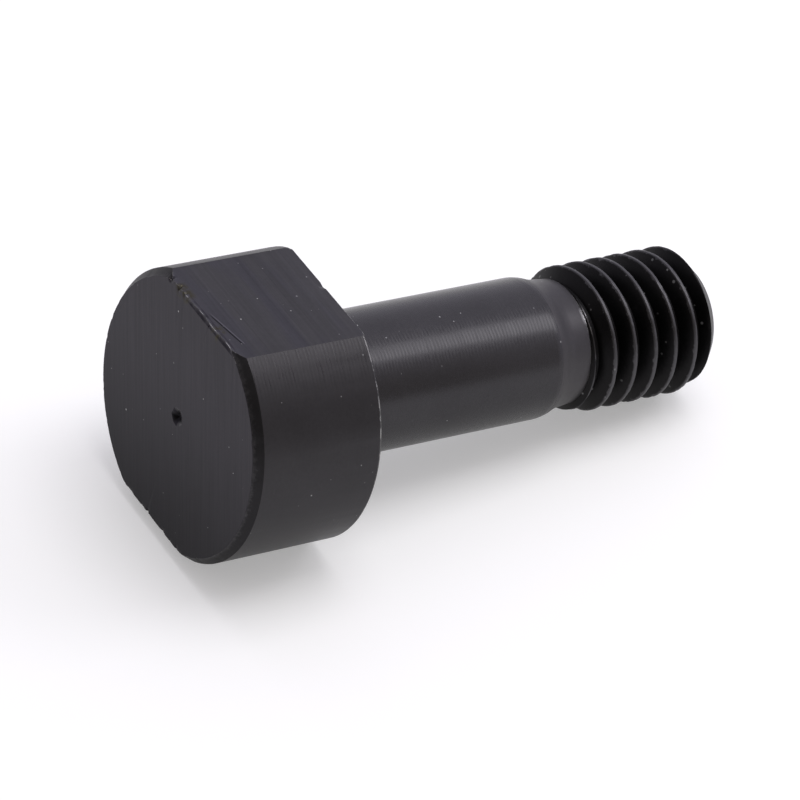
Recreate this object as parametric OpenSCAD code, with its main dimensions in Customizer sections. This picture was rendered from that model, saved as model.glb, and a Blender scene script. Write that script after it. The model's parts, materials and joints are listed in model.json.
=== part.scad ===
// Turned steel bolt with two wrench flats on a round head, a plain shoulder, a tapered neck and a
// coarse right-hand thread. Sizes are in millimetres. The bolt lies at rest on z = 0, on the rear
// edge of one flat and on its last full thread crest, with its other flat upward.

/* [Head] */
// Diameter of the round head
head_d = 18.25; // [17:0.05:21]
// Distance across the two wrench flats
head_flats = 15.875; // [13:0.125:16.5]
// Height of the head along the axis
head_h = 8.95; // [5:0.05:14]
// Width of the front chamfer, measured along the radius
front_chamfer_w = 0.45; // [0.2:0.05:0.7]
// Depth of the front chamfer, measured along the axis
front_chamfer_h = 0.55; // [0.2:0.05:1]
// Break of the head's rear edge
rear_break = 0.15; // [0.05:0.01:0.3]
// Diameter of the centre dimple in the head's front face
dimple_d = 1; // [0.5:0.05:2]
// Depth of the centre dimple
dimple_h = 0.4; // [0.2:0.05:1]

/* [Shank] */
// Diameter of the plain shoulder
shoulder_d = 9.15; // [8.7:0.05:9.4]
// Length of the plain shoulder under the head
shoulder_l = 16.8; // [6:0.1:40]
// Diameter of the tapered neck at its thin end, where the thread starts
neck_d = 8.2; // [7.9:0.05:8.5]
// Length of the tapered neck between shoulder and thread
neck_l = 2.2; // [1.4:0.1:5]

/* [Thread] */
// Major diameter of the thread
thread_d = 9.525; // [9.425:0.025:9.725]
// Pitch of the thread
thread_pitch = 1.5875; // [1.5:0.0125:1.7]
// Length of the thread, with the end chamfer
thread_l = 10.15; // [6:0.05:30]
// Angle from the upper flat at which a crest starts at the neck's end
crest_angle = 67.5; // [0:0.5:359.5]
// Facets in one turn of the thread
thread_sides = 60; // [32:4:72]

/* [Hidden] */

$fn = 96;

// Places along the axis, from the head's front face at 0
shoulder_end = head_h + shoulder_l;
neck_end = shoulder_end + neck_l;
bolt_l = neck_end + thread_l;

// Thread form: a 60 degree profile with a crest flat of an eighth of the pitch
thread_r = thread_d / 2;
thread_depth = 0.6134 * thread_pitch;
root_r = thread_r - thread_depth;
crest_half = thread_pitch / 16;
root_half = thread_pitch / 2 - crest_half - thread_depth * tan(30);
corner_r = [thread_r, thread_r, root_r, root_r];
corner_z = [-crest_half, crest_half, thread_pitch / 2 - root_half, thread_pitch / 2 + root_half];
corners = len(corner_r);

// The helix starts two turns below the neck's end and runs two turns past the bolt's end
helix_z = neck_end - thread_pitch * (2 + crest_angle / 360);
helix_turns = ceil((bolt_l - helix_z) / thread_pitch) + 2;
helix_steps = helix_turns * thread_sides;

// Blank of the thread: 45 degree chamfers at both ends, and some air over the crests
crest_air = 0.1;
tip_r = root_r - 0.1;
blank_lap = 0.3;
blank_start_r = neck_d / 2 - 0.15 - blank_lap;
chamfer_end = bolt_l - (thread_r - tip_r);

// The lowest points at rest: the flat's rear edge and the last full crest below the axis
crest_below = neck_end + thread_pitch * ((180 - crest_angle) / 360) + crest_half;
last_crest = crest_below + thread_pitch * floor((chamfer_end - crest_below) / thread_pitch);
rest_tilt = atan((head_flats / 2 - thread_r) / (last_crest - head_h));
floor_drop = head_h * sin(rest_tilt) + head_flats / 2 * cos(rest_tilt);
back_x = -head_flats / 2 * sin(rest_tilt);
tip_x = bolt_l * cos(rest_tilt) + tip_r * sin(rest_tilt);

// One corner of the thread profile at a step of the helix
function thread_point(step, corner) =
    let (angle = 360 * step / thread_sides)
    [
        corner_r[corner] * cos(angle),
        corner_r[corner] * sin(angle),
        helix_z + thread_pitch * step / thread_sides + corner_z[corner]
    ];

// Place of a corner in the list of points, where one past the last corner is the next turn's first
function corner_index(step, corner) =
    corner < corners ? corners * step + corner : corners * (step + thread_sides);

// Two triangles between a corner and the next one, over one step of the helix
function flank_faces(step, corner) =
    let (
        near = corner_index(step, corner),
        near_up = corner_index(step, corner + 1),
        far = corner_index(step + 1, corner),
        far_up = corner_index(step + 1, corner + 1)
    )
    [[near, near_up, far], [near_up, far_up, far]];

// Triangles from one point to every edge of a closed loop of points
function fan_faces(apex, loop) =
    [for (i = [0 : len(loop) - 1]) [apex, loop[i], loop[(i + 1) % len(loop)]]];

// Helical solid of the thread with its core, longer at both ends than the thread is
module helix_solid() {
    last_turn = helix_steps - thread_sides;
    low_apex = corners * (helix_steps + 1);
    high_apex = low_apex + 1;
    points = [
        for (step = [0 : helix_steps]) for (corner = [0 : corners - 1]) thread_point(step, corner),
        [0, 0, helix_z + thread_pitch / 2],
        [0, 0, helix_z + thread_pitch * (helix_turns - 1) + thread_pitch / 2]
    ];
    low_loop = [
        for (step = [0 : thread_sides]) corner_index(step, 0),
        for (corner = [corners - 1 : -1 : 1]) corner_index(0, corner)
    ];
    high_loop = [
        for (corner = [0 : corners - 1]) corner_index(helix_steps, corner),
        for (step = [helix_steps - 1 : -1 : last_turn]) corner_index(step, corners - 1)
    ];
    faces = [
        for (step = [0 : helix_steps - 1]) for (corner = [0 : corners - 2]) each flank_faces(step, corner),
        for (step = [0 : last_turn - 1]) each flank_faces(step, corners - 1),
        each fan_faces(low_apex, low_loop),
        each fan_faces(high_apex, high_loop)
    ];
    polyhedron(points = points, faces = faces, convexity = 10);
}

// Round head with a chamfered front, a broken rear edge, two flats and a centre dimple
module head() {
    head_r = head_d / 2;
    difference() {
        intersection() {
            rotate_extrude()
                polygon([
                    [0, 0],
                    [head_r - front_chamfer_w, 0],
                    [head_r, front_chamfer_h],
                    [head_r, head_h - rear_break],
                    [head_r - rear_break, head_h],
                    [0, head_h]
                ]);
            translate([-head_flats / 2, -head_d, -1])
                cube([head_flats, 2 * head_d, head_h + 2]);
        }
        translate([0, 0, -0.1])
            cylinder(h = dimple_h + 0.1, d1 = dimple_d * (1 + 0.1 / dimple_h), d2 = 0);
    }
}

// Plain shoulder and the tapered neck
module shank() {
    rotate_extrude()
        polygon([
            [0, head_h - 1],
            [shoulder_d / 2, head_h - 1],
            [shoulder_d / 2, shoulder_end],
            [neck_d / 2, neck_end],
            [0, neck_end]
        ]);
}

// Thread, cut to length and chamfered at both ends
module thread() {
    outer_r = thread_r + crest_air;
    start_z = neck_end - blank_lap;
    intersection() {
        helix_solid();
        rotate_extrude()
            polygon([
                [0, start_z],
                [blank_start_r, start_z],
                [outer_r, start_z + outer_r - blank_start_r],
                [outer_r, chamfer_end - crest_air],
                [tip_r, bolt_l],
                [0, bolt_l]
            ]);
    }
}

// Whole bolt, laid at rest with its axis along x and its head at the low end of x
module bolt() {
    color("#3b3b3e")
        translate([-(back_x + tip_x) / 2, 0, floor_drop])
            rotate([0, 90 + rest_tilt, 0])
                rotate([0, 0, 180])
                    union() {
                        head();
                        shank();
                        thread();
                    }
}

bolt();
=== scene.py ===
"""Blackened steel bolt with wrench flats: a fine mesh, its tooled finishes, a plain studio and the camera."""
import json
import logging
import math
from dataclasses import dataclass, field
from enum import Enum, IntEnum
from typing import Any

import bmesh
import bpy
from mathutils import Matrix, Vector, noise


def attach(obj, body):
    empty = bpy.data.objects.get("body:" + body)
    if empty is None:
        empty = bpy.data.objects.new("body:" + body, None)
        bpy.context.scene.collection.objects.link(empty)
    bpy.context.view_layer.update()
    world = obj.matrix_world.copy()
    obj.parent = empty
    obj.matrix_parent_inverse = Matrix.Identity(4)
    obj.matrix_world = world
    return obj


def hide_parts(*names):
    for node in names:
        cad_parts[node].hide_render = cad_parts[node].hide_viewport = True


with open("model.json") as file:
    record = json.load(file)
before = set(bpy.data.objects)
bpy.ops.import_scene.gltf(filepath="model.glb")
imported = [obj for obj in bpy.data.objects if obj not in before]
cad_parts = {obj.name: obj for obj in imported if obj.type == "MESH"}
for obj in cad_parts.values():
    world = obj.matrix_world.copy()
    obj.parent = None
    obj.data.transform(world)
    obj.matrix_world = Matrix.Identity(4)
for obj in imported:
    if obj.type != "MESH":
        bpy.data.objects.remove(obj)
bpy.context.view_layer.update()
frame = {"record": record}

MM = 0.001
BODY = "root"
CAD_NODE = "bolt"

# Spacing of the dust, feed of the lathe, side on which its marks show, and lay of the grinding
DUST_SCALE = 1.4
FEED = 0.245
FEED_SIDE = math.radians(30)
FACE_LAY = math.radians(158)

# Colours of what lies on the steel, and of the steel at a glancing angle
DUST_COLOUR = (0.42, 0.42, 0.42, 1.0)
STAIN_COLOUR = (0.040, 0.036, 0.022, 1.0)
EDGE_TINT = (0.87, 0.87, 0.87, 1.0)

# Short names of types
Triple = tuple[float, float, float]
Section = list[tuple[float, float]]
Bits = tuple[tuple[float, float], ...]
Socket = bpy.types.NodeSocket
Node = bpy.types.Node
BMesh = bmesh.types.BMesh
Edge = bmesh.types.BMEdge
Face = bmesh.types.BMFace

log = logging.getLogger("bolt")


class Zone(IntEnum):
    """Parts of the bolt's surface, in the order of its material slots."""

    TURNED = 0
    FACE = 1
    FLAT = 2
    CHAMFER = 3
    NECK = 4
    THREAD = 5
    EDGE = 6
    FACED = 7
    HEAD = 8
    BURR = 9
    DIMPLE = 10
    RIM = 11


class Marks(Enum):
    """Kinds of marks that a tool leaves."""

    FEED = "feed"
    MILLED = "milled"
    GROUND = "ground"
    FINE = "fine"
    RINGS = "rings"


class Graph:
    """Short calls for building one node tree."""

    def __init__(self, tree: bpy.types.NodeTree) -> None:
        """Keep the tree that the nodes go into.

        Args:
            tree: Node tree of a material, a world or a group.
        """
        self.tree = tree

    def add(self, kind: str, inputs: dict[Any, Any] | None = None, **settings: Any) -> Node:
        """Add a node, set its properties, and set or link its inputs.

        Args:
            kind: Blender's name of the node's type.
            inputs: Socket name or number to a value, or to an output socket that is linked there.
            **settings: Properties of the node.

        Returns:
            The new node.
        """
        node = self.tree.nodes.new(kind)
        for name, value in settings.items():
            setattr(node, name, value)
        for socket, value in (inputs or {}).items():
            if isinstance(value, Socket):
                self.tree.links.new(value, node.inputs[socket])
            else:
                node.inputs[socket].default_value = value
        return node

    def link(self, start: Socket, end: Socket) -> None:
        """Link an output socket to an input socket."""
        self.tree.links.new(start, end)

    def group(self, tree: bpy.types.NodeTree, values: dict[str, float] | None = None) -> Node:
        """Place a shared group.

        Args:
            tree: The group.
            values: Its inputs.

        Returns:
            The group's node.
        """
        node = self.add("ShaderNodeGroup", node_tree=tree)
        for name, value in (values or {}).items():
            node.inputs[name].default_value = value
        return node

    def math(self, operation: str, *values: Any) -> Socket:
        """Add a Math node.

        Args:
            operation: Blender's name of the operation.
            *values: Its numbers or output sockets.

        Returns:
            The node's result.
        """
        return self.add("ShaderNodeMath", dict(enumerate(values)), operation=operation).outputs[0]

    def split(self, vector: Any) -> list[Socket]:
        """Split a vector into its three numbers."""
        return list(self.add("ShaderNodeSeparateXYZ", {0: vector}).outputs)

    def measure(self, operation: str, *vectors: Any) -> Socket:
        """Add a Vector Math node whose result is a number."""
        inputs = dict(enumerate(vectors))
        return self.add("ShaderNodeVectorMath", inputs, operation=operation).outputs["Value"]

    def ramp(
        self, value: Any, low: float, high: float, out_low: float = 0.0, out_high: float = 1.0,
    ) -> Socket:
        """Map a range of values smoothly onto another, with both ends kept.

        Args:
            value: Output socket to map.
            low: Value at which the ramp starts.
            high: Value at which it ends.
            out_low: Result at the start.
            out_high: Result at the end.

        Returns:
            The mapped value.
        """
        ends = {"Value": value, "From Min": low, "From Max": high, "To Min": out_low, "To Max": out_high}
        return self.add("ShaderNodeMapRange", ends, interpolation_type="SMOOTHSTEP").outputs["Result"]

    def mix(self, factor: Any, first: Any, second: Any, blend: str = "MIX") -> Socket:
        """Mix two colours.

        Args:
            factor: Share of the second colour.
            first: First colour or output socket.
            second: Second colour or output socket.
            blend: Blender's name of the blend type.

        Returns:
            The mixed colour.
        """
        node = self.add("ShaderNodeMix", {"Factor": factor}, data_type="RGBA", blend_type=blend)
        for socket, value in ((node.inputs[6], first), (node.inputs[7], second)):
            if isinstance(value, Socket):
                self.tree.links.new(value, socket)
            else:
                socket.default_value = value
        return node.outputs[2]

    def noise(self, vector: Any, scale: float, detail: float = 3.0, rough: float = 0.55) -> Socket:
        """Add a noise texture.

        Args:
            vector: Coordinates to read.
            scale: Features in one unit of the coordinates.
            detail: Octaves of finer noise.
            rough: Strength of the finer octaves.

        Returns:
            The noise value.
        """
        inputs = {"Vector": vector, "Scale": scale, "Detail": detail, "Roughness": rough}
        return self.add("ShaderNodeTexNoise", inputs).outputs["Fac"]

    def stretched(self, vector: Any, stretch: Triple, turn: float = 0.0) -> Socket:
        """Turn coordinates about the bolt's axis and stretch them, for a pattern of long marks.

        Args:
            vector: Coordinates along the bolt's own axes.
            stretch: Factor on each axis.
            turn: Turn about the bolt's axis, in radians.

        Returns:
            The new coordinates.
        """
        turned = self.add("ShaderNodeMapping", {"Vector": vector, "Rotation": (0.0, 0.0, turn)}).outputs[0]
        return self.add("ShaderNodeVectorMath", {0: turned, 1: stretch}, operation="MULTIPLY").outputs[0]


def new_group(
    name: str, inputs: dict[str, float], outputs: dict[str, str],
) -> tuple[bpy.types.NodeTree, Graph, Node, Node]:
    """Make an empty shader node group.

    Args:
        name: Name of the group.
        inputs: Name of each number input, with its default.
        outputs: Name of each output, with its socket type.

    Returns:
        The group, its graph, and its input and output nodes.
    """
    tree = bpy.data.node_groups.new(name, "ShaderNodeTree")
    for socket, value in inputs.items():
        made = tree.interface.new_socket(name=socket, in_out="INPUT", socket_type="NodeSocketFloat")
        made.default_value = value
    for socket, kind in outputs.items():
        tree.interface.new_socket(name=socket, in_out="OUTPUT", socket_type=kind)
    graph = Graph(tree)
    return tree, graph, graph.add("NodeGroupInput"), graph.add("NodeGroupOutput")


def empty_graph(owner: bpy.types.Material | bpy.types.World) -> Graph:
    """Clear the nodes of a material or a world.

    Args:
        owner: The material or the world.

    Returns:
        The graph of its node tree.
    """
    owner.use_nodes = True
    owner.node_tree.nodes.clear()
    return Graph(owner.node_tree)


def new_object(name: str, bm: BMesh) -> bpy.types.Object:
    """Make an object at the origin from a mesh in work, and free that mesh.

    Args:
        name: Name of the object and its mesh.
        bm: Mesh in work.

    Returns:
        The object, linked to the scene.
    """
    mesh = bpy.data.meshes.new(name)
    bm.to_mesh(mesh)
    bm.free()
    made = bpy.data.objects.new(name, mesh)
    bpy.context.scene.collection.objects.link(made)
    return made


def spin_section(bm: BMesh, points: Section, columns: int, rise: float = 0.0) -> None:
    """Spin a half section once round the axis, or screw it along the axis as well.

    Args:
        bm: Mesh that the surface goes into.
        points: Points as radius and place along the axis.
        columns: Steps in the turn.
        rise: Distance along the axis in the turn.
    """
    body = set(bm.verts)
    corners = [bm.verts.new((r, 0.0, z)) for r, z in points]
    edges = [bm.edges.new(pair) for pair in zip(corners, corners[1:])]
    bmesh.ops.spin(
        bm, geom=corners + edges, cent=(0, 0, 0), axis=(0, 0, 1), angle=math.tau, dvec=(0, 0, rise / columns),
        steps=columns, use_merge=rise == 0.0,
    )
    bmesh.ops.remove_doubles(bm, verts=[v for v in bm.verts if v not in body], dist=1e-4)


def bevel_edges(bm: BMesh, edges: list[Edge], offset: float, segments: int) -> list[Face]:
    """Round some edges.

    Args:
        bm: Mesh in work.
        edges: Edges to round.
        offset: Width from the edge to each side.
        segments: Faces across the rounding.

    Returns:
        The new faces.
    """
    bevel = bmesh.ops.bevel(
        bm, geom=edges, offset=offset, offset_type="OFFSET", affect="EDGES", segments=segments, profile=0.5,
        material=-1, clamp_overlap=True,
    )
    return bevel["faces"]


@dataclass
class BoltSizes:
    """Sizes of the bolt in millimetres, as in the part's source."""

    head_d: float = 18.25
    head_flats: float = 15.875
    head_h: float = 8.95
    front_chamfer_w: float = 0.45
    front_chamfer_h: float = 0.55
    rear_break: float = 0.15
    dimple_d: float = 1.0
    dimple_h: float = 0.4
    shoulder_d: float = 9.15
    shoulder_l: float = 16.8
    neck_d: float = 8.2
    neck_l: float = 2.2
    thread_d: float = 9.525
    thread_pitch: float = 1.5875
    thread_l: float = 10.15
    crest_angle: float = 67.5
    start_slope: float = 1.5
    rim_lap: float = 0.2
    rim_step: float = 0.05

    @property
    def shoulder_end(self) -> float:
        """Place of the shoulder's end along the axis."""
        return self.head_h + self.shoulder_l

    @property
    def neck_end(self) -> float:
        """Place of the neck's end along the axis."""
        return self.shoulder_end + self.neck_l

    @property
    def rim_z(self) -> float:
        """Place of the neck's end rim, which laps the thread's start a little."""
        return self.neck_end + self.rim_lap

    @property
    def rim_r(self) -> float:
        """Radius of the neck just before its end rim."""
        return self.neck_d / 2 - self.rim_step

    @property
    def start_r(self) -> float:
        """Radius of the thread's start chamfer where the neck ends."""
        return self.rim_r - self.rim_step

    @property
    def bolt_l(self) -> float:
        """Whole length of the bolt."""
        return self.neck_end + self.thread_l

    @property
    def root_r(self) -> float:
        """Radius at the thread's root."""
        return self.thread_d / 2 - 0.6134 * self.thread_pitch

    @property
    def tip_r(self) -> float:
        """Radius of the flat end."""
        return self.root_r - 0.1


def rest_matrix(sizes: BoltSizes) -> Matrix:
    """Matrix from the bolt's own axes, in millimetres, to the frame, in metres.

    The bolt's own z runs along its axis from the head's front face, and its x is the upper flat's normal.

    Args:
        sizes: Sizes of the bolt.

    Returns:
        The matrix, read from the shoulder's mount in the record.
    """
    shoulder = next(m for m in frame["record"]["mounts"] if m["name"] == "shoulder")
    axis = Vector(shoulder["axis"]).normalized()
    middle = sizes.head_h + sizes.shoulder_l / 2
    origin = Vector(shoulder["pos_m"]) - axis * middle * MM
    side = Vector((0.0, -1.0, 0.0))
    upward = side.cross(axis)
    turn = Matrix((upward, side, axis)).transposed().to_4x4()
    return Matrix.Translation(origin) @ turn @ Matrix.Scale(MM, 4)


def parts_of(faces: list[Face]) -> list[Any]:
    """All points, edges and faces of some faces.

    Args:
        faces: Faces to take apart.

    Returns:
        Their points, their edges and the faces themselves.
    """
    verts = {v for f in faces for v in f.verts}
    edges = {e for f in faces for e in f.edges}
    return [*verts, *edges, *faces]


def fade(distance: float, reach: float) -> float:
    """Weight that falls smoothly from 1 at no distance to 0 at the reach."""
    share = min(1.0, max(0.0, 1.0 - distance / reach))
    return share * share * (3.0 - 2.0 * share)


@dataclass(frozen=True)
class Nick:
    """Small notch in an edge of a flat: which flat, where along the edge, how wide and how deep."""

    side: float
    place: float
    width: float
    depth: float


@dataclass
class Head:
    """Round head with two flats, cut edges, a ragged burr and a centre dimple."""

    sizes: BoltSizes
    edge_break: float = 0.065
    rear_soft: float = 0.09
    set_back: float = 0.09
    wave: float = 2.9
    rows: tuple[float, ...] = (0.1, 0.17, 0.28, 0.42)
    cell: float = 0.08
    chip_depth: float = 0.05
    lip_groove: float = 0.05
    dimple_shift: tuple[float, float] = (0.12, 0.09)
    nicks: tuple[Nick, ...] = (
        Nick(1.0, -3.75, 0.30, 0.18),
        Nick(1.0, -2.75, 0.20, 0.10),
        Nick(1.0, -2.05, 0.25, 0.06),
        Nick(1.0, 0.95, 0.12, 0.05),
        Nick(-1.0, -0.55, 0.18, 0.07),
        Nick(-1.0, 3.1, 0.15, 0.03),
    )
    rear_dent: Nick = Nick(1.0, -0.5, 0.4, 0.1)

    @property
    def strip(self) -> float:
        """Width of the strip by an edge that a burr bends."""
        return self.rows[-1]

    def profile(self) -> Section:
        """Half section of the head, from the dimple to the shoulder.

        Returns:
            Points as radius and place along the axis.
        """
        s = self.sizes
        head_r = s.head_d / 2
        face_r = head_r - s.front_chamfer_w
        shoulder_r = s.shoulder_d / 2
        return [
            (0.0, s.dimple_h),
            (0.15 * s.dimple_d, 0.68 * s.dimple_h),
            (0.3 * s.dimple_d, 0.4 * s.dimple_h),
            (0.45 * s.dimple_d, 0.15 * s.dimple_h),
            (0.6 * s.dimple_d, 0.0),
            (s.dimple_d, 0.0),
            (0.3 * face_r, 0.0),
            (0.6 * face_r, 0.0),
            (face_r - self.strip, 0.0),
            (face_r, 0.0),
            (head_r, s.front_chamfer_h),
            (head_r, 0.5 * s.head_h),
            (head_r, s.head_h - s.rear_break - 0.1),
            (head_r, s.head_h - s.rear_break),
            (head_r - s.rear_break, s.head_h),
            (0.5 * (head_r + shoulder_r), s.head_h),
            (shoulder_r, s.head_h),
        ]

    def mill_flats(self, bm: BMesh) -> None:
        """Cut the two flats off the round head.

        Args:
            bm: Mesh of the turned body.
        """
        for side in (1.0, -1.0):
            whole = bm.verts[:] + bm.edges[:] + bm.faces[:]
            place = (side * self.sizes.head_flats / 2, 0, 0)
            cut = bmesh.ops.bisect_plane(
                bm, geom=whole, plane_co=place, plane_no=(side, 0, 0), clear_outer=True,
            )
            rim = [e for e in cut["geom_cut"] if isinstance(e, Edge)]
            bmesh.ops.contextual_create(bm, geom=rim)

    def break_edges(self, bm: BMesh) -> None:
        """Break the head's sharp edges, and mark the narrow faces that this leaves.

        Args:
            bm: Mesh of the turned body with its flats.
        """
        s = self.sizes
        bmesh.ops.recalc_face_normals(bm, faces=bm.faces)
        sharp = [
            e for e in bm.edges
            if len(e.link_faces) == 2
            and e.calc_face_angle() > math.radians(25)
            and max(v.co.z for v in e.verts) < s.head_h + 0.01
            and min(v.co.xy.length for v in e.verts) > s.shoulder_d / 2 + 0.1
        ]
        rear = [e for e in sharp if min(v.co.z for v in e.verts) > s.head_h - 2.0 * s.rear_break]
        front = [e for e in sharp if e not in rear]
        for face in bevel_edges(bm, front, self.edge_break, 2):
            middle = face.calc_center_median()
            if self.in_strip(middle, 1.0) or self.in_strip(middle, -1.0):
                face.material_index = Zone.BURR
        for face in bevel_edges(bm, [e for e in rear if e.is_valid], self.rear_soft, 3):
            face.material_index = Zone.EDGE

    def cut_strips(self, bm: BMesh) -> None:
        """Cut the surface along the flats' front edges into small cells that a burr can bend.

        Args:
            bm: Mesh of the head with its broken edges.
        """
        half = self.sizes.head_flats / 2
        for side in (1.0, -1.0):
            bm.normal_update()
            front = parts_of([
                f for f in bm.faces if f.normal.z < -0.99 and side * f.calc_center_median().x > half / 2
            ])
            flat = parts_of([f for f in bm.faces if side * f.normal.x > 0.99 and len(f.verts) > 8])
            for row in self.rows:
                inward = (side * (half - row), 0, 0)
                cut = bmesh.ops.bisect_plane(bm, geom=front, plane_co=inward, plane_no=(1, 0, 0), dist=1e-5)
                front = cut["geom"]
                upward = (0, 0, row)
                cut = bmesh.ops.bisect_plane(bm, geom=flat, plane_co=upward, plane_no=(0, 0, 1), dist=1e-5)
                flat = cut["geom"]
            strip = parts_of([f for f in bm.faces if self.in_strip(f.calc_center_median(), side)])
            rows = int(0.55 * self.sizes.head_flats / self.cell)
            for row in range(-rows // 2, rows // 2 + 1):
                cut = bmesh.ops.bisect_plane(
                    bm, geom=strip, plane_co=(0, row * self.cell, 0), plane_no=(0, 1, 0), dist=1e-5,
                )
                strip = cut["geom"]

    def in_strip(self, place: Vector, side: float) -> bool:
        """Tell whether a place lies by the front edge of a flat."""
        reach = self.strip + 1e-4
        return side * place.x > self.sizes.head_flats / 2 - reach and place.z < reach

    def burr_strips(self, bm: BMesh) -> None:
        """Bend the strips into a ragged edge with nicks, and a shallow groove behind the upper one.

        Args:
            bm: Mesh of the head with its strips cut.
        """
        half = self.sizes.head_flats / 2
        for side in (1.0, -1.0):
            for vert in [v for v in bm.verts if self.in_strip(v.co, side)]:
                inward = half - side * vert.co.x
                away = max(inward, vert.co.z)
                y = vert.co.y
                coarse = noise.noise(Vector((1.7 * y, 4.0 * side, 0.3)))
                fine = noise.noise(Vector((5.5 * y, side, 7.1)))
                bite = self.chip_depth * max(0.0, coarse + 0.7 * fine) * fade(away, 0.6 * self.strip)
                for nick in self.nicks:
                    if nick.side == side:
                        bite += nick.depth * fade(abs(y - nick.place), nick.width) * fade(away, self.strip)
                on_face = vert.co.z < 0.5 * self.edge_break
                groove = self.groove_depth(y, inward if on_face else vert.co.z) if side > 0 else 0.0
                reach = 0.55 * self.strip if on_face else self.strip
                back = self.lip_back(y) * fade(away, reach) if side > 0 else 0.0
                vert.co.z += back + 0.8 * bite * fade(vert.co.z, 0.5 * self.strip)
                vert.co.x -= side * bite
                if on_face:
                    vert.co.z += groove
                else:
                    vert.co.x -= side * groove

    def groove_depth(self, y: float, away: float) -> float:
        """Depth of the shallow grooves on both sides of the upper edge, which leave it standing as a lip.

        Args:
            y: Place along the edge.
            away: Distance from the edge.

        Returns:
            The depth.
        """
        uneven = 0.75 + 0.6 * noise.noise(Vector((2.3 * y, 1.0, 0.0)))
        return self.lip_groove * self.lip_run(y) * max(0.0, uneven) * fade(abs(away - 0.15), 0.14)

    def lip_back(self, y: float) -> float:
        """How far the lip is set back along the axis, in waves."""
        return self.set_back * self.lip_run(y) * (0.6 + 0.4 * math.cos(math.tau * y / self.wave))

    def lip_run(self, y: float) -> float:
        """Weight of the bent lip at a place along the upper edge."""
        return fade(max(0.0, -1.2 - y), 1.0) * fade(max(0.0, y - 3.3), 0.8)

    def dent_rear(self, bm: BMesh) -> None:
        """Dent the rear edge of the upper flat in one place.

        Args:
            bm: Mesh of the head with its broken edges.
        """
        half = self.sizes.head_flats / 2
        rear = self.sizes.head_h
        dent = self.rear_dent
        cuts = [((0, 0, rear - dent.width), (0, 0, 1))]
        cuts += [((0, dent.place + step * dent.width / 2, 0), (0, 1, 0)) for step in range(-2, 3)]
        for place, direction in cuts:
            near = parts_of([
                f for f in bm.faces
                if min(dent.side * v.co.x for v in f.verts) > half - 2.0 * self.rear_soft
                and max(v.co.z for v in f.verts) > rear - 0.9 * dent.width
            ])
            bmesh.ops.bisect_plane(bm, geom=near, plane_co=place, plane_no=direction, dist=1e-5)
        for vert in bm.verts:
            near = dent.side * vert.co.x > half - 2.0 * self.rear_soft
            if near and vert.co.z > rear - 2.0 * self.rear_soft:
                vert.co.x -= dent.side * dent.depth * fade(abs(vert.co.y - dent.place), dent.width)

    def roughen(self, bm: BMesh) -> None:
        """Give the dimple, the chamfer's inner edge and the rear rim their small faults.

        Args:
            bm: Mesh of the head.
        """
        s = self.sizes
        head_r = s.head_d / 2
        face_r = head_r - s.front_chamfer_w
        for vert in bm.verts:
            radius = vert.co.xy.length
            z = vert.co.z
            angle = math.atan2(vert.co.y, vert.co.x)
            around = Vector((math.cos(angle), math.sin(angle), 0.0))
            if z < s.dimple_h + 0.01 and 0.05 < radius < 0.7 * s.dimple_d:
                shift = Vector(self.dimple_shift) * (1.0 - z / s.dimple_h)
                vert.co.xy = vert.co.xy * (1.0 + 0.12 * noise.noise(around * 2.0)) + shift
            elif z < 0.1 and abs(radius - face_r) < 0.08:
                torn = noise.noise(around * 14.0) + 0.9 * noise.noise(around * 55.0) - 0.1
                vert.co.xy *= 1.0 - 0.08 * max(0.0, torn) / radius
            elif s.head_h - 0.3 < z < s.head_h + 0.01 and radius > head_r - 0.1:
                dent = noise.noise(around * 9.0) + 0.6 * noise.noise(around * 30.0) - 0.1
                vert.co.xy *= 1.0 - 0.05 * max(0.0, dent) / radius


@dataclass
class Shank:
    """Plain shoulder, soft corner and neck, which tapers fast and then slowly to its rounded end rim."""

    sizes: BoltSizes
    early: float = 0.15
    fast_l: float = 1.0
    fast_drop: float = 0.37
    corner: float = 0.4
    rim: float = 0.1

    @property
    def taper_start(self) -> float:
        """Place along the axis where the taper starts."""
        return self.sizes.shoulder_end - self.early

    @property
    def knee(self) -> float:
        """Place along the axis where the slow taper starts."""
        return self.taper_start + self.fast_l

    def profile(self) -> Section:
        """Half section of the shank, from past the head to the neck's end.

        Returns:
            Points as radius and place along the axis.
        """
        s = self.sizes
        shoulder_r = s.shoulder_d / 2
        points = [
            (shoulder_r, s.head_h + 0.5 * s.shoulder_l),
            (shoulder_r, self.taper_start),
            (shoulder_r - self.fast_drop, self.knee),
        ]
        for turn in (0, 20, 40, 60):
            angle = math.radians(turn)
            along = s.rim_z - self.rim * (1.0 - math.sin(angle))
            points.append((s.rim_r - self.rim * (1.0 - math.cos(angle)), along))
        return points

    def soften(self, bm: BMesh) -> None:
        """Round the corners where the two tapers start.

        Args:
            bm: Mesh of the turned body.
        """
        places = (self.taper_start, self.knee)
        rings = [
            e for e in bm.edges
            if any(all(abs(v.co.z - place) < 1e-4 for v in e.verts) for place in places)
        ]
        bevel_edges(bm, rings, self.corner, 6)


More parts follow.
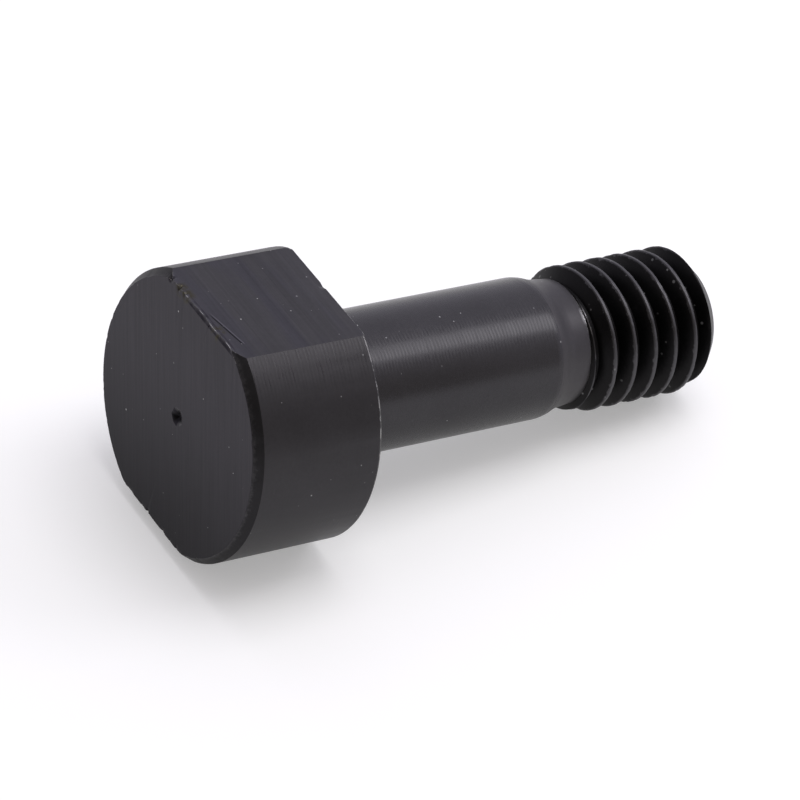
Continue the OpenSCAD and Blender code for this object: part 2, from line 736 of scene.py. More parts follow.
@dataclass
class Thread:
    """Right-hand thread with chamfered ends and slightly ragged crests."""

    sizes: BoltSizes
    columns: int = 160
    flank_rows: int = 7

    def profile(self) -> Section:
        """Half section of one pitch of the thread, from the middle of a crest.

        Returns:
            Points as radius and distance along the axis.
        """
        s = self.sizes
        crest_r = s.thread_d / 2
        depth = crest_r - s.root_r
        crest_half = s.thread_pitch / 16
        flank = depth * math.tan(math.radians(30))
        points = [(crest_r, 0.0), (crest_r, 0.75 * crest_half)]
        for row in range(self.flank_rows + 1):
            share = row / self.flank_rows
            points.append((crest_r - 0.015 - (depth - 0.015) * share, crest_half + flank * share))
        root = [(s.root_r, s.thread_pitch / 2)]
        mirrored = [(r, s.thread_pitch - z) for r, z in reversed(points[1:])]
        return points + root + mirrored

    def screw(self, bm: BMesh) -> None:
        """Screw the thread's section round the axis, chamfer its ends and join it to the neck.

        Args:
            bm: Mesh of the turned body, open at the neck's end.
        """
        s = self.sizes
        first = s.neck_end - s.thread_pitch * (3 + s.crest_angle / 360)
        turns = math.ceil((s.bolt_l - first) / s.thread_pitch) + 1
        neck_rim = [e for e in bm.edges if e.is_boundary]
        body = set(bm.verts)
        points = [(r, first + s.thread_pitch * turn + z) for turn in range(turns) for r, z in self.profile()]
        spin_section(bm, points, self.columns, s.thread_pitch)
        for vert in [v for v in bm.verts if v not in body]:
            self.shape_point(vert)
        for place, at_tip in ((s.rim_z, False), (s.bolt_l, True)):
            screwed = [f for f in bm.faces if not any(v in body for v in f.verts)]
            cut = bmesh.ops.bisect_plane(
                bm, geom=parts_of(screwed), plane_co=(0, 0, place), plane_no=(0, 0, 1), clear_outer=at_tip,
                clear_inner=not at_tip,
            )
            rim = [e for e in cut["geom_cut"] if isinstance(e, Edge)]
            if at_tip:
                bmesh.ops.contextual_create(bm, geom=rim)
            else:
                bmesh.ops.bridge_loops(bm, edges=rim + neck_rim)

    def shape_point(self, vert: bmesh.types.BMVert) -> None:
        """Roughen a crest a little, and keep a point of the thread inside the end chamfers.

        Args:
            vert: Point of the screwed surface.
        """
        s = self.sizes
        radius = vert.co.xy.length
        if radius > s.thread_d / 2 - 0.02:
            burr = noise.noise(vert.co * 1.9) + 0.6 * noise.noise(vert.co * 6.0) - 0.2
            radius -= 0.06 * max(0.0, burr)
        end = s.tip_r + s.bolt_l - vert.co.z
        start = s.start_r + s.start_slope * (vert.co.z - s.rim_z)
        kept = max(0.5, min(radius, start, end))
        vert.co.xy *= kept / vert.co.xy.length


@dataclass
class Bolt:
    """The whole bolt as one closed mesh, with a zone for each way its surface was cut."""

    sizes: BoltSizes = field(default_factory=BoltSizes)
    columns: int = 288
    small_face: int = 6

    def __post_init__(self) -> None:
        """Make the bolt's lengths from its sizes."""
        self.head = Head(self.sizes)
        self.shank = Shank(self.sizes)
        self.thread = Thread(self.sizes)

    def zone_of(self, face: Face) -> Zone:
        """Work out how a face was cut from its place and its direction.

        Args:
            face: Face of the finished mesh, in the bolt's own axes.

        Returns:
            The face's zone.
        """
        s = self.sizes
        middle = face.calc_center_median()
        flat_gap = abs(abs(middle.x) - s.head_flats / 2)
        if middle.z > s.bolt_l - 0.01 or (face.normal.z > 0.95 and middle.z < s.head_h + 0.1):
            return Zone.FACED
        if middle.z > s.rim_z - 0.005:
            return Zone.THREAD
        if middle.z > self.shank.taper_start:
            return Zone.RIM if middle.z > s.rim_z - self.shank.rim else Zone.NECK
        if abs(face.normal.x) > 0.75 and flat_gap < 0.2 and middle.xy.length < s.head_d / 2 - 0.04:
            return Zone.FLAT
        if middle.xy.length < s.dimple_d and face.normal.z > -0.98:
            return Zone.DIMPLE
        if face.normal.z < -0.75 or middle.xy.length < s.dimple_d:
            return Zone.FACE
        if middle.z < s.front_chamfer_h:
            return Zone.CHAMFER
        if middle.z > s.head_h:
            return Zone.TURNED
        return Zone.EDGE if face.normal.z > 0.3 else Zone.HEAD

    def mark_zones(self, bm: BMesh) -> None:
        """Give each face its zone, make the right edges smooth, and cut faces of many corners into triangles.

        Args:
            bm: Mesh of the whole bolt.
        """
        many = [f for f in bm.faces if len(f.verts) > 4]
        for face in bm.faces:
            face.smooth = len(face.verts) <= self.small_face
            if face.material_index not in (Zone.EDGE, Zone.BURR):
                face.material_index = self.zone_of(face)
        soft = {Zone.THREAD, Zone.CHAMFER, Zone.NECK, Zone.RIM, Zone.EDGE, Zone.DIMPLE}
        for edge in bm.edges:
            if len(edge.link_faces) == 2:
                rounded = all(f.material_index in soft for f in edge.link_faces)
                edge.smooth = edge.calc_face_angle() < math.radians(30 if rounded else 9)
        bmesh.ops.triangulate(bm, faces=many, ngon_method="BEAUTY")

    def build(self) -> bpy.types.Object:
        """Make the bolt's mesh and lay it in the frame.

        Returns:
            The bolt's object, at the origin.
        """
        bm = bmesh.new()
        spin_section(bm, self.head.profile() + self.shank.profile(), self.columns)
        self.head.mill_flats(bm)
        self.head.break_edges(bm)
        self.head.cut_strips(bm)
        self.head.burr_strips(bm)
        self.head.dent_rear(bm)
        self.head.roughen(bm)
        self.shank.soften(bm)
        self.thread.screw(bm)
        bmesh.ops.remove_doubles(bm, verts=bm.verts, dist=5e-4)
        bmesh.ops.recalc_face_normals(bm, faces=bm.faces)
        self.mark_zones(bm)
        bmesh.ops.transform(bm, matrix=rest_matrix(self.sizes), verts=bm.verts)
        return new_object("bolt_steel", bm)


@dataclass
class SharedEffects:
    """Node groups that several finishes use."""

    sizes: BoltSizes = field(default_factory=BoltSizes)

    def __post_init__(self) -> None:
        """Build each group once."""
        self.axes = self.make_axes()
        self.oxide = self.make_oxide()
        self.dust = self.make_dust()
        self.stain = self.make_stain()

    def make_axes(self) -> bpy.types.NodeTree:
        """Coordinates along the bolt's own axes, in millimetres and degrees.

        Returns:
            The group, with the place as a vector, its distance along the axis, its radius and its turn from
            the upper flat.
        """
        numbers = dict.fromkeys(("Along", "Radius", "Turn"), "NodeSocketFloat")
        tree, g, _, out = new_group("bolt_axes", {}, {"Place": "NodeSocketVector", **numbers})
        place, turn, _ = rest_matrix(self.sizes).decompose()
        coords = g.add("ShaderNodeTexCoord").outputs["Object"]
        inputs = {"Vector": coords, "Location": place, "Rotation": turn.to_euler(), "Scale": (MM, MM, MM)}
        local = g.add("ShaderNodeMapping", inputs, vector_type="TEXTURE").outputs[0]
        split = g.split(local)
        flat = g.add("ShaderNodeCombineXYZ", {0: split[0], 1: split[1]}).outputs[0]
        radius = g.measure("LENGTH", flat)
        g.link(local, out.inputs["Place"])
        g.link(split[2], out.inputs["Along"])
        g.link(radius, out.inputs["Radius"])
        turned = g.math("ARCTAN2", split[1], split[0])
        g.link(g.math("DEGREES", turned), out.inputs["Turn"])
        return tree

    def make_oxide(self) -> bpy.types.NodeTree:
        """Cloudy and fine-grained tone of the oxide layer.

        Returns:
            The group, with a tone about 1 and a roughness shift about 0.
        """
        tree, g, given, out = new_group(
            "oxide_tone", {"Cloud": 0.12, "Grain": 0.15},
            {"Tone": "NodeSocketFloat", "Shift": "NodeSocketFloat"},
        )
        place = g.group(self.axes).outputs["Place"]
        cloud = g.math("SUBTRACT", g.noise(place, 0.35, 4.0), 0.5)
        grain = g.math("SUBTRACT", g.noise(place, 4.0, 3.0, 0.7), 0.5)
        cloudy = g.math("MULTIPLY", cloud, given.outputs["Cloud"])
        grainy = g.math("MULTIPLY", grain, given.outputs["Grain"])
        shift = g.math("ADD", cloudy, grainy)
        g.link(g.math("MULTIPLY_ADD", shift, 2.0, 1.0), out.inputs["Tone"])
        g.link(shift, out.inputs["Shift"])
        return tree

    def make_dust(self) -> bpy.types.NodeTree:
        """Sparse pale specks of dust.

        Returns:
            The group, with a mask that is 1 on a speck.
        """
        tree, g, given, out = new_group(
            "dust_specks", {"Density": 0.35, "Size": 1.0}, {"Mask": "NodeSocketFloat"},
        )
        place = g.group(self.axes).outputs["Place"]
        cells = g.add("ShaderNodeTexVoronoi", {"Vector": place, "Scale": DUST_SCALE, "Randomness": 1.0})
        pick = g.add("ShaderNodeSeparateColor", {0: cells.outputs["Color"]})
        size = g.math("MULTIPLY_ADD", pick.outputs[1], 0.05 * DUST_SCALE, 0.03 * DUST_SCALE)
        size = g.math("MULTIPLY", size, given.outputs["Size"])
        near = g.ramp(cells.outputs["Distance"], size, g.math("MULTIPLY", size, 0.5), 0.0, 1.0)
        chosen = g.math("LESS_THAN", pick.outputs[0], given.outputs["Density"])
        pale = g.math("MULTIPLY_ADD", g.math("POWER", pick.outputs[2], 2.5), 0.8, 0.2)
        g.link(g.math("MULTIPLY", g.math("MULTIPLY", near, chosen), pale), out.inputs["Mask"])
        return tree

    def make_stain(self) -> bpy.types.NodeTree:
        """Small brownish stains beside the upper flat's front edge.

        Returns:
            The group, with a mask that is 1 in a stain.
        """
        tree, g, _, out = new_group("edge_stain", {}, {"Mask": "NodeSocketFloat"})
        place = g.group(self.axes).outputs["Place"]
        split = g.split(place)
        inward = g.math("SUBTRACT", self.sizes.head_flats / 2, split[0])
        by_edge = g.ramp(g.math("MAXIMUM", inward, split[2]), 0.75, 0.3)
        near_nick = g.ramp(g.math("ABSOLUTE", g.math("ADD", split[1], 2.3)), 1.0, 0.5)
        near_burr = g.ramp(g.math("ABSOLUTE", g.math("SUBTRACT", split[1], 1.7)), 0.6, 0.2)
        spread = g.math("MULTIPLY", g.math("MAXIMUM", near_nick, near_burr), by_edge)
        patch = g.ramp(g.noise(place, 2.2, 3.0, 0.6), 0.42, 0.58)
        g.link(g.math("MULTIPLY", spread, patch), out.inputs["Mask"])
        return tree


@dataclass(frozen=True)
class SteelFinish:
    """Blackened steel, as one kind of cut left it."""

    name: str
    tint: Triple
    roughness: float
    cloud: float = 0.12
    grain: float = 0.12
    marks: Marks = Marks.FINE
    mark_height: float = 0.0
    mark_tone: float = 0.0
    mark_rough: float = 0.0
    worn: float = 0.0
    worn_grain: float = 1.6
    worn_from: float = 0.48
    worn_tint: Triple = (0.26, 0.255, 0.25)
    stain: float = 0.0
    second: Triple | None = None
    # Share by which the colour darkens towards the bottom of the bolt, as painted shade
    painted_shade_below: float = 0.0
    dust: float = 0.38
    dust_size: float = 1.0

    def mark_pattern(self, g: Graph, axes: Node) -> Socket:
        """Height of the marks that the tool left, about 0.5.

        Args:
            g: Graph of the finish's material.
            axes: Node with the bolt's own coordinates.

        Returns:
            The height.
        """
        place = axes.outputs["Place"]
        if self.marks is Marks.FEED:
            wander = g.noise(g.stretched(place, (0.5, 0.5, 0.9)), 1.0, 2.0)
            wander = g.math("MULTIPLY", wander, 5.0)
            phase = g.math("MULTIPLY_ADD", axes.outputs["Along"], math.tau / FEED, wander)
            fine = g.noise(g.stretched(place, (0.25, 0.25, 7.0)), 1.0, 3.0, 0.6)
            lines = g.math("MULTIPLY_ADD", g.math("SINE", phase), 0.28, fine)
            toward = (math.cos(FEED_SIDE), math.sin(FEED_SIDE), 0.0)
            reach = g.measure("DOT_PRODUCT", place, toward)
            kept = g.ramp(g.math("DIVIDE", reach, axes.outputs["Radius"]), 0.95, 0.996, 0.12, 1.0)
            return g.math("MULTIPLY_ADD", g.math("SUBTRACT", lines, 0.5), kept, 0.5)
        if self.marks is Marks.MILLED:
            broad = g.noise(g.stretched(place, (0.2, 0.06, 1.5)), 1.0, 2.0, 0.6)
            fine = g.noise(g.stretched(place, (0.2, 0.12, 6.0)), 1.0, 3.0, 0.65)
            return g.math("MULTIPLY_ADD", g.math("ADD", broad, fine), 0.5, 0.0)
        if self.marks is Marks.GROUND:
            return g.noise(g.stretched(place, (0.12, 4.2, 0.2), -FACE_LAY), 1.0, 4.0, 0.65)
        if self.marks is Marks.RINGS:
            radius = axes.outputs["Radius"]
            return g.noise(g.add("ShaderNodeCombineXYZ", {0: radius}).outputs[0], 5.0, 3.0, 0.6)
        return g.noise(g.stretched(place, (0.4, 0.4, 6.0)), 1.0, 3.0, 0.6)

    def base(self, g: Graph, axes: Node, tone: Socket) -> Socket:
        """Colour of the steel, before dust.

        Args:
            g: Graph of the finish's material.
            axes: Node with the bolt's own coordinates.
            tone: Factor on the tint.

        Returns:
            The colour.
        """
        place = axes.outputs["Place"]
        tint: Any = (*self.tint, 1.0)
        if self.second:
            band = g.ramp(g.noise(g.stretched(place, (0.2, 0.1, 0.55)), 1.0, 2.0, 0.5), 0.4, 0.6)
            tint = g.mix(band, tint, (*self.second, 1.0))
        # Painted shade: the colour darkens towards the bottom of the bolt
        if self.painted_shade_below > 0.0:
            upward = g.split(place)[0]
            tone = g.math("MULTIPLY", tone, g.ramp(upward, -8.0, 4.0, 1.0 - self.painted_shade_below, 1.0))
        grey = g.add("ShaderNodeCombineXYZ", {0: tone, 1: tone, 2: tone}).outputs[0]
        colour = g.mix(1.0, tint, grey, "MULTIPLY")
        if self.worn > 0.0:
            patch = g.ramp(g.noise(place, self.worn_grain, 3.0, 0.7), self.worn_from, self.worn_from + 0.14)
            colour = g.mix(g.math("MULTIPLY", patch, self.worn), colour, (*self.worn_tint, 1.0))
        return colour

    def material(self, effects: SharedEffects) -> bpy.types.Material:
        """Build the finish's material.

        Args:
            effects: Shared node groups.

        Returns:
            The material.
        """
        material = bpy.data.materials.new(self.name)
        g = empty_graph(material)
        axes = g.group(effects.axes)
        oxide = g.group(effects.oxide, {"Cloud": self.cloud, "Grain": self.grain})
        dust = g.group(effects.dust, {"Density": self.dust, "Size": self.dust_size}).outputs["Mask"]
        marks = self.mark_pattern(g, axes)
        uneven = g.math("SUBTRACT", marks, 0.5)
        tone = g.math("MULTIPLY_ADD", uneven, 2.0 * self.mark_tone, oxide.outputs["Tone"])
        colour = self.base(g, axes, tone)
        if self.stain > 0.0:
            stain = g.group(effects.stain).outputs["Mask"]
            colour = g.mix(g.math("MULTIPLY", stain, self.stain), colour, STAIN_COLOUR)
        colour = g.mix(dust, colour, DUST_COLOUR)
        rough = g.math("MULTIPLY_ADD", oxide.outputs["Shift"], 0.5, self.roughness)
        rough = g.math("MULTIPLY_ADD", uneven, self.mark_rough, rough)
        rough = g.math("MAXIMUM", rough, g.math("MULTIPLY", dust, 0.9))
        metal = g.math("SUBTRACT", 1.0, dust)
        inputs = {"Base Color": colour, "Roughness": rough, "Metallic": metal, "Specular Tint": EDGE_TINT}
        shader = g.add("ShaderNodeBsdfPrincipled", inputs)
        bump = g.add("ShaderNodeBump", {"Height": marks, "Distance": self.mark_height * MM, "Strength": 1.0})
        g.link(bump.outputs[0], shader.inputs["Normal"])
        g.link(shader.outputs[0], g.add("ShaderNodeOutputMaterial").inputs["Surface"])
        return material


@dataclass(frozen=True)
class FlatFinish(SteelFinish):
    """Milled flat, with a long scratch behind the upper one's front edge, darkened in its groove as painted
    shade and lightened on its raised side as painted highlight.
    """

    scratch_start: tuple[float, float] = (0.2, 0.45)
    scratch_end: tuple[float, float] = (3.2, 1.0)
    scratch_half: float = 0.08

    def mark_pattern(self, g: Graph, axes: Node) -> Socket:
        """Height of the mill's marks, with the scratch sunk in and its far side raised.

        Args:
            g: Graph of the finish's material.
            axes: Node with the bolt's own coordinates.

        Returns:
            The height.
        """
        marks = super().mark_pattern(g, axes)
        split = g.split(axes.outputs["Place"])
        (y0, z0), (y1, z1) = self.scratch_start, self.scratch_end
        slope = (z1 - z0) / (y1 - y0)
        line = g.math("MULTIPLY_ADD", split[1], -slope, slope * y0 - z0)
        off = g.math("ADD", split[2], line)
        begun = g.ramp(split[1], y0 - 0.3, y0 + 0.5)
        going = g.math("MULTIPLY", begun, g.ramp(split[1], y1 + 0.1, y1 - 0.1))
        upper = g.math("MULTIPLY", going, g.math("GREATER_THAN", split[0], 0.0))
        sunk = g.ramp(g.math("ABSOLUTE", off), self.scratch_half, 0.3 * self.scratch_half)
        beyond = g.math("SUBTRACT", off, 1.6 * self.scratch_half)
        raised = g.ramp(g.math("ABSOLUTE", beyond), 0.8 * self.scratch_half, 0.0)
        # The height also sets the colour: painted shade in the scratch's groove and a painted highlight on
        # its raised side
        shape = g.math("MULTIPLY_ADD", sunk, -0.9, g.math("MULTIPLY", raised, 1.2))
        return g.math("MULTIPLY_ADD", shape, upper, marks)


def near_bits(g: Graph, along: Socket, bits: Bits) -> Socket:
    """Mask of short bits of an edge, where painted glints go.

    Args:
        g: Graph of a finish's material.
        along: Coordinate along the edge.
        bits: Middle and half length of each bit.

    Returns:
        The mask.
    """
    near: Any = 0.0
    for middle, half in bits:
        off = g.math("ABSOLUTE", g.math("SUBTRACT", along, middle))
        near = g.math("MAXIMUM", near, g.ramp(off, half, 0.4 * half))
    return near


@dataclass(frozen=True)
class GlintFinish(SteelFinish):
    """Edge with painted glints in a few bits, which lie across the bolt or round its axis."""

    # Places of the painted glints, their tint, and where along the axis they begin
    bits: Bits = ()
    glint_tint: Triple = (0.72, 0.71, 0.7)
    round_axis: bool = False
    glint_from: float | None = None

    def base(self, g: Graph, axes: Node, tone: Socket) -> Socket:
        """Colour of the edge, with its painted glints.

        Args:
            g: Graph of the finish's material.
            axes: Node with the bolt's own coordinates.
            tone: Factor on the tint.

        Returns:
            The colour.
        """
        colour = super().base(g, axes, tone)
        place = axes.outputs["Place"]
        along = axes.outputs["Turn"]
        if not self.round_axis:
            along = g.split(place)[1]
        glint_mask = near_bits(g, along, self.bits)
        if self.glint_from is not None:
            begun = g.ramp(axes.outputs["Along"], self.glint_from, self.glint_from + 0.15)
            glint_mask = g.math("MULTIPLY", glint_mask, begun)
        # Painted glints: a light tint in the given bits, ragged by noise
        ragged = g.ramp(g.noise(place, 3.5, 3.0, 0.7), 0.35, 0.5)
        return g.mix(g.math("MULTIPLY", glint_mask, ragged), colour, (*self.glint_tint, 1.0))


@dataclass(frozen=True)
class ChamferFinish(SteelFinish):
    """Dark chamfer with a lighter, torn band at its inner edge, painted as the sheen of a rounded edge."""

    sizes: BoltSizes = field(default_factory=BoltSizes)
    edge_sheen_tint: Triple = (0.060, 0.058, 0.061)
    reach: float = 0.2

    def base(self, g: Graph, axes: Node, tone: Socket) -> Socket:
        """Colour of the chamfer, with painted sheen at its inner edge.

        Args:
            g: Graph of the finish's material.
            axes: Node with the bolt's own coordinates.
            tone: Factor on the tint.

        Returns:
            The colour.
        """
        dark = super().base(g, axes, tone)
        inner_r = self.sizes.head_d / 2 - self.sizes.front_chamfer_w
        # Painted sheen: a lighter band at the inner edge, torn by noise, in place of a rounded edge
        torn = g.ramp(g.noise(axes.outputs["Place"], 3.5, 4.0, 0.75), 0.35, 0.72, 0.0, self.reach)
        past = g.math("SUBTRACT", g.math("SUBTRACT", axes.outputs["Radius"], inner_r - 0.03), torn)
        return g.mix(g.ramp(past, 0.16, -0.16), dark, (*self.edge_sheen_tint, 1.0))


@dataclass(frozen=True)
class ThreadFinish(SteelFinish):
    """Thread with a dark tint as painted shade of its grooves, painted highlights on its crests and on the
    rim at its start, and painted glints on that rim.
    """

    sizes: BoltSizes = field(default_factory=BoltSizes)
    # Tint of the painted highlight on the crests and the start rim, then places and tint of the painted
    # glints
    crest_highlight_tint: Triple = (0.075, 0.073, 0.077)
    bits: Bits = ((37.0, 13.0),)
    glint_tint: Triple = (0.4, 0.39, 0.4)

    def start_rim(self, g: Graph, axes: Node) -> Socket:
        """Mask of the rim where the start chamfer cuts the first crest.

        Args:
            g: Graph of the finish's material.
            axes: Node with the bolt's own coordinates.

        Returns:
            The mask.
        """
        s = self.sizes
        past = g.math("SUBTRACT", axes.outputs["Along"], s.neck_end)
        turns = g.math("MULTIPLY_ADD", past, 1.0 / s.thread_pitch, s.crest_angle / 360 + 0.5)
        turns = g.math("FRACT", g.math("MULTIPLY_ADD", axes.outputs["Turn"], -1.0 / 360, turns))
        off_crest = g.math("MULTIPLY", g.math("ABSOLUTE", g.math("SUBTRACT", turns, 0.5)), s.thread_pitch)
        flank = g.math("MAXIMUM", g.math("SUBTRACT", off_crest, s.thread_pitch / 16), 0.0)
        form = g.math("MULTIPLY_ADD", flank, -1.0 / math.tan(math.radians(30)), s.thread_d / 2)
        cone = g.math("MULTIPLY_ADD", past, s.start_slope, s.start_r - s.start_slope * (s.rim_z - s.neck_end))
        rim = g.ramp(g.math("ABSOLUTE", g.math("SUBTRACT", form, cone)), 0.2, 0.07)
        begun = s.rim_z - s.neck_end + 0.03
        return g.math("MULTIPLY", rim, g.ramp(past, begun, begun + 0.06))

    def base(self, g: Graph, axes: Node, tone: Socket) -> Socket:
        """Colour of the thread, with painted highlights on its crests and start rim, and painted glints on
        that rim.

        Args:
            g: Graph of the finish's material.
            axes: Node with the bolt's own coordinates.
            tone: Factor on the tint.

        Returns:
            The colour.
        """
        # Painted shade: the thread's whole tint is dark, as the shade of its grooves
        groove = super().base(g, axes, tone)
        crest_r = self.sizes.thread_d / 2
        # Painted highlight: the crests and the start rim take a lighter tint, torn by noise
        torn = g.ramp(g.noise(axes.outputs["Place"], 1.5, 4.0, 0.75), 0.5, 0.72, -0.01, 0.13)
        crest = g.ramp(g.math("ADD", axes.outputs["Radius"], torn), crest_r - 0.12, crest_r - 0.03)
        rim = self.start_rim(g, axes)
        colour = g.mix(g.math("MAXIMUM", crest, rim), groove, (*self.crest_highlight_tint, 1.0))
        # Painted glints on short bits of the start rim
        glint_mask = g.math("MULTIPLY", rim, near_bits(g, axes.outputs["Turn"], self.bits))
        return g.mix(glint_mask, colour, (*self.glint_tint, 1.0))


@dataclass(frozen=True)
class DimpleFinish(SteelFinish):
    """Centre dimple, with painted shade on one side of its wall."""

    painted_shade_tint: Triple = (0.011, 0.0105, 0.0115)
    painted_shade_place: Triple = (0.0, -0.2, 0.12)
    painted_shade_reach: float = 0.5

    def base(self, g: Graph, axes: Node, tone: Socket) -> Socket:
        """Colour of the dimple, darker by painted shade on one side of its wall.

        Args:
            g: Graph of the finish's material.
            axes: Node with the bolt's own coordinates.
            tone: Factor on the tint.

        Returns:
            The colour.
        """
        clean = super().base(g, axes, tone)
        # Painted shade: a dark patch on one side of the dimple's wall, ragged by noise
        uneven = g.math("SUBTRACT", g.noise(axes.outputs["Place"], 2.5, 2.0), 0.5)
        away = g.measure("DISTANCE", axes.outputs["Place"], self.painted_shade_place)
        away = g.math("MULTIPLY_ADD", uneven, 0.5 * self.painted_shade_reach, away)
        return g.mix(g.ramp(away, self.painted_shade_reach, 0.2 * self.painted_shade_reach), clean, (*self.painted_shade_tint, 1.0))


# The share that darkens a finish towards the bottom of the bolt is painted shade
FINISHES = {
    Zone.TURNED: SteelFinish(
        "turned_steel", (0.050, 0.0485, 0.051), 0.27, marks=Marks.FEED, mark_height=0.0008, mark_tone=0.05,
        mark_rough=0.25, painted_shade_below=0.3,
    ),
    Zone.HEAD: SteelFinish(
        "turned_head", (0.0465, 0.0447, 0.0468), 0.40, marks=Marks.FEED, mark_height=0.003, mark_tone=0.15,
        mark_rough=0.4, painted_shade_below=0.22, dust=0.6,
    ),
    Zone.FACE: SteelFinish(
        "ground_face", (0.0354, 0.0330, 0.0385), 0.36, marks=Marks.GROUND, mark_height=0.004, mark_tone=0.35,
        stain=0.8, painted_shade_below=0.5,
    ),
    Zone.FLAT: FlatFinish(
        "milled_flat", (0.048, 0.0465, 0.0492), 0.34, marks=Marks.MILLED, mark_height=0.005, mark_tone=0.42,
        second=(0.046, 0.0445, 0.0512), stain=0.8,
    ),
    # The chamfer carries painted sheen at its inner edge and painted shade towards the bottom
    Zone.CHAMFER: ChamferFinish(
        "chamfer_cut", (0.0295, 0.0285, 0.030), 0.5, marks=Marks.FINE, mark_height=0.003, mark_tone=0.1,
        painted_shade_below=0.35,
    ),
    # Painted glint on the neck just before its end rim
    Zone.NECK: GlintFinish(
        "neck_cut", (0.061, 0.0585, 0.0615), 0.40, marks=Marks.FINE, mark_height=0.001, mark_tone=0.04,
        bits=((29.0, 9.0),), glint_tint=(0.2, 0.195, 0.2), round_axis=True,
        glint_from=BoltSizes().rim_z - 0.3,
    ),
    # The thread's dark tint is painted shade of its grooves
    Zone.THREAD: ThreadFinish(
        "thread_cut", (0.017, 0.0165, 0.017), 0.40, cloud=0.15, grain=0.2, dust=0.5, dust_size=2.0,
        mark_height=0.001,
    ),
    Zone.EDGE: SteelFinish(
        "broken_edge", (0.060, 0.058, 0.060), 0.30, grain=0.3, worn=0.9, worn_grain=1.4, worn_from=0.44,
        worn_tint=(0.27, 0.265, 0.26), mark_height=0.002,
    ),
    # Worn patches, stains and painted glints in a few bits of the lip
    Zone.BURR: GlintFinish(
        "edge_burr", (0.064, 0.062, 0.064), 0.32, grain=0.4, worn=0.45, worn_grain=3.5, worn_from=0.46,
        worn_tint=(0.4, 0.39, 0.38), stain=0.8, mark_height=0.004,
        bits=((-1.8, 0.2), (-0.17, 0.25), (1.3, 0.55), (3.1, 0.4)),
    ),
    # The dimple carries painted shade on one side of its wall and towards the bottom
    Zone.DIMPLE: DimpleFinish(
        "dark_dimple", (0.0354, 0.0330, 0.0385), 0.36, marks=Marks.GROUND, mark_height=0.004, mark_tone=0.35,
        painted_shade_below=0.5, dust=0.0,
    ),
    # Worn patches and a painted glint on the neck's end rim
    Zone.RIM: GlintFinish(
        "neck_rim", (0.060, 0.058, 0.060), 0.30, grain=0.3, worn=0.9, worn_grain=1.4, worn_from=0.44,
        worn_tint=(0.2, 0.195, 0.19), mark_height=0.002, bits=((29.0, 10.0),), glint_tint=(0.6, 0.59, 0.6),
        round_axis=True,
    ),
    Zone.FACED: SteelFinish(
        "faced_end", (0.048, 0.0465, 0.049), 0.34, marks=Marks.RINGS, mark_height=0.006, mark_tone=0.1,
    ),
}


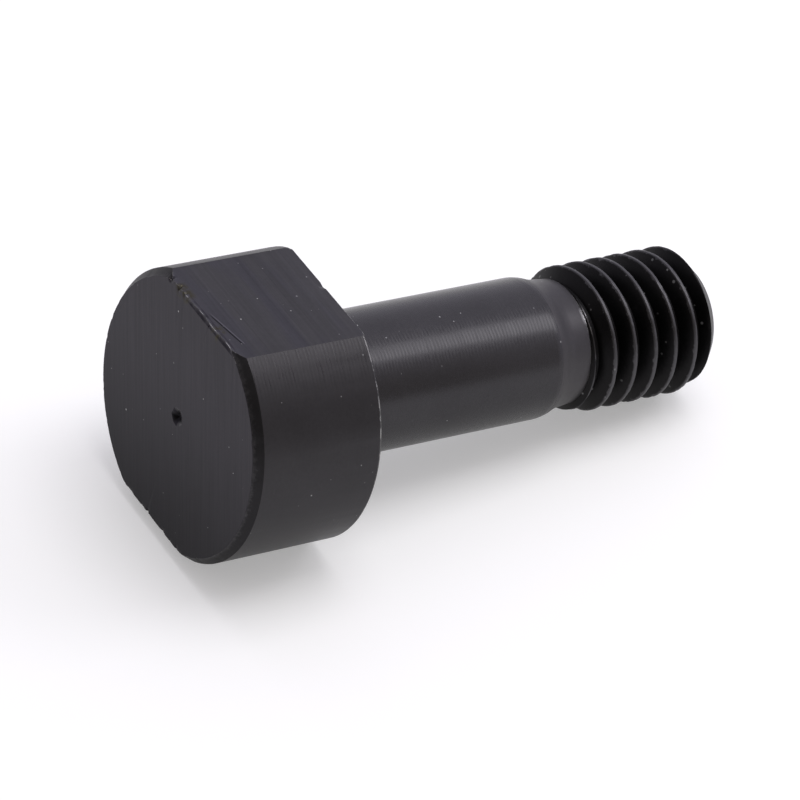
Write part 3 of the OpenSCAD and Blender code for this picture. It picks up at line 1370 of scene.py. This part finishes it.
@dataclass
class Studio:
    """Pale floor, soft lamps and a pale surround that is dimmer on the camera's side."""

    floor_size: float = 6.0
    floor_tone: float = 0.72
    floor_lift: float = 0.33
    dim_side: Triple = (-0.483, -0.837, 0.259)
    left_side: Triple = (-0.894, 0.358, 0.268)
    left_share: float = 0.65
    bright: float = 1.05
    dim: float = 0.2
    cool: Triple = (0.99, 0.965, 1.085)
    warm: Triple = (1.09, 0.99, 0.93)

    def floor(self) -> bpy.types.Object:
        """Make the floor, which keeps the bolt's shadow and looks white where it is clear of it.

        Returns:
            The floor's object.
        """
        bm = bmesh.new()
        bmesh.ops.create_grid(bm, x_segments=1, y_segments=1, size=self.floor_size / 2)
        floor = new_object("floor", bm)
        material = bpy.data.materials.new("pale_floor")
        g = empty_graph(material)
        tone = (self.floor_tone, self.floor_tone, self.floor_tone, 1.0)
        diffuse = g.add("ShaderNodeBsdfDiffuse", {"Color": tone}).outputs[0]
        path = g.add("ShaderNodeLightPath")
        seen = g.math("MAXIMUM", path.outputs["Is Camera Ray"], path.outputs["Is Glossy Ray"])
        seen = g.math("MAXIMUM", seen, path.outputs["Is Transmission Ray"])
        lift = g.math("MULTIPLY", seen, self.floor_lift)
        glow = g.add("ShaderNodeEmission", {"Strength": lift}).outputs[0]
        both = g.add("ShaderNodeAddShader", {0: diffuse, 1: glow}).outputs[0]
        out = g.add("ShaderNodeOutputMaterial")
        g.link(both, out.inputs["Surface"])
        floor.data.materials.append(material)
        return floor

    def surround(self) -> None:
        """Light the scene from a pale surround."""
        world = bpy.data.worlds.new("studio_surround")
        g = empty_graph(world)
        coords = g.add("ShaderNodeTexCoord").outputs["Generated"]
        front_shade = g.ramp(g.measure("DOT_PRODUCT", coords, self.dim_side), 0.05, 0.75)
        left_shade = g.ramp(g.measure("DOT_PRODUCT", coords, self.left_side), 0.2, 0.8, 0.0, self.left_share)
        shade = g.math("MAXIMUM", front_shade, left_shade)
        level = g.math("MULTIPLY_ADD", shade, self.dim - self.bright, self.bright)
        colour = g.mix(front_shade, (*self.cool, 1.0), (*self.warm, 1.0))
        back = g.add("ShaderNodeBackground", {"Color": colour, "Strength": level}).outputs[0]
        out = g.add("ShaderNodeOutputWorld")
        g.link(back, out.inputs["Surface"])
        bpy.context.scene.world = world

    def lamp(self, name: str, azimuth: float, elevation: float, size: float, level: float) -> None:
        """Add a square soft lamp that faces the bolt.

        Args:
            name: Name of the lamp.
            azimuth: Its direction from +Y towards +X, in degrees.
            elevation: Its height over the floor, in degrees.
            size: Side of the square, in metres, at half a metre from the bolt.
            level: How bright it looks, where 1 is white.
        """
        a, e = math.radians(azimuth), math.radians(elevation)
        away = Vector((math.sin(a) * math.cos(e), math.cos(a) * math.cos(e), math.sin(e)))
        data = bpy.data.lights.new(name, "AREA")
        data.shape = "SQUARE"
        data.size = size
        data.energy = level * math.pi * size * size
        lamp = bpy.data.objects.new(name, data)
        lamp.location = away * 0.5
        lamp.rotation_euler = away.to_track_quat("Z", "Y").to_euler()
        bpy.context.scene.collection.objects.link(lamp)

    def build(self) -> None:
        """Make the floor, the surround and the lamps."""
        self.floor()
        self.surround()
        self.lamp("key_lamp", 104.0, 43.0, 0.18, 2.5)
        self.lamp("top_lamp", 100.0, 80.0, 0.3, 3.0)


@dataclass
class PhotoCamera:
    """Camera at the photograph's viewing angle, with places in millimetres."""

    eye: Triple = (-135.398, -175.503, 192.490)
    aim: Triple = (-1.933, 0.261, 4.357)
    roll: float = 9.3087
    lens: float = 207.948

    def build(self) -> bpy.types.Object:
        """Make the camera and set it as the scene's own.

        Returns:
            The camera's object.
        """
        forward = (Vector(self.aim) - Vector(self.eye)).normalized()
        level_right = forward.cross(Vector((0, 0, 1))).normalized()
        level_up = level_right.cross(forward)
        roll = math.radians(self.roll)
        right = level_right * math.cos(roll) + level_up * math.sin(roll)
        up = level_up * math.cos(roll) - level_right * math.sin(roll)
        turn = Matrix((right, up, -forward)).transposed().to_4x4()
        data = bpy.data.cameras.new("photo_camera")
        data.lens = self.lens
        data.clip_start = 0.01
        data.clip_end = 20.0
        camera = bpy.data.objects.new("photo_camera", data)
        camera.matrix_world = Matrix.Translation(Vector(self.eye) * MM) @ turn
        bpy.context.scene.collection.objects.link(camera)
        bpy.context.scene.camera = camera
        return camera


def main() -> None:
    """Build the bolt, dress it, and set up the studio and the camera."""
    logging.basicConfig(level=logging.INFO, format="%(name)s: %(message)s")
    bpy.context.scene.view_settings.view_transform = "Standard"
    PhotoCamera().build()
    Studio().build()
    bolt = Bolt()
    piece = bolt.build()
    effects = SharedEffects(bolt.sizes)
    for zone in Zone:
        piece.data.materials.append(FINISHES[zone].material(effects))
    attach(piece, BODY)
    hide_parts(CAD_NODE)
    log.info("%s: %d faces", piece.name, len(piece.data.polygons))


if __name__ == "__main__":
    main()
